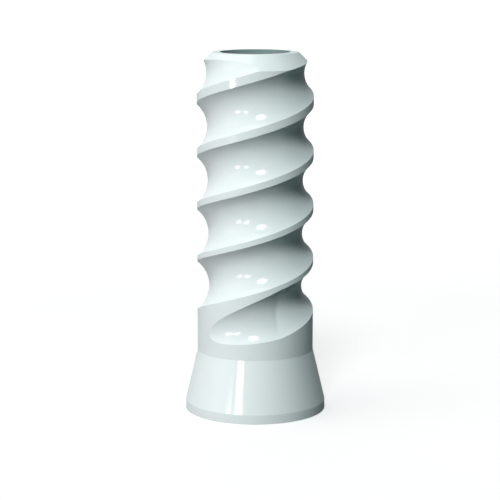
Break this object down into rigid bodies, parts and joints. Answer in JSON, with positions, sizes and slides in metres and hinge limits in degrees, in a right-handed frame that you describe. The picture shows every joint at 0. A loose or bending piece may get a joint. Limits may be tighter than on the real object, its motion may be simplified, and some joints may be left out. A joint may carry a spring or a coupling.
{
  "type": "temporary cementing post",
  "caption": "Tubular plastic post for a temporary tooth restoration, with a flared foot, a chamfered top, a screw channel and coarse two-start helical retention grooves.",
  "frame": {"origin": "centre of the seat face under the foot", "axes": "+Z along the post's axis towards its top; -Y is the side that the picture shows from the front, with the lower ends of one groove's run-out left of centre"},
  "size_m": [0.0048, 0.0048, 0.0124],
  "materials": {
    "post_plastic": "gloss"
  },
  "bodies": {
    "root": {"post": "post_plastic"}
  },
  "joints": []
}
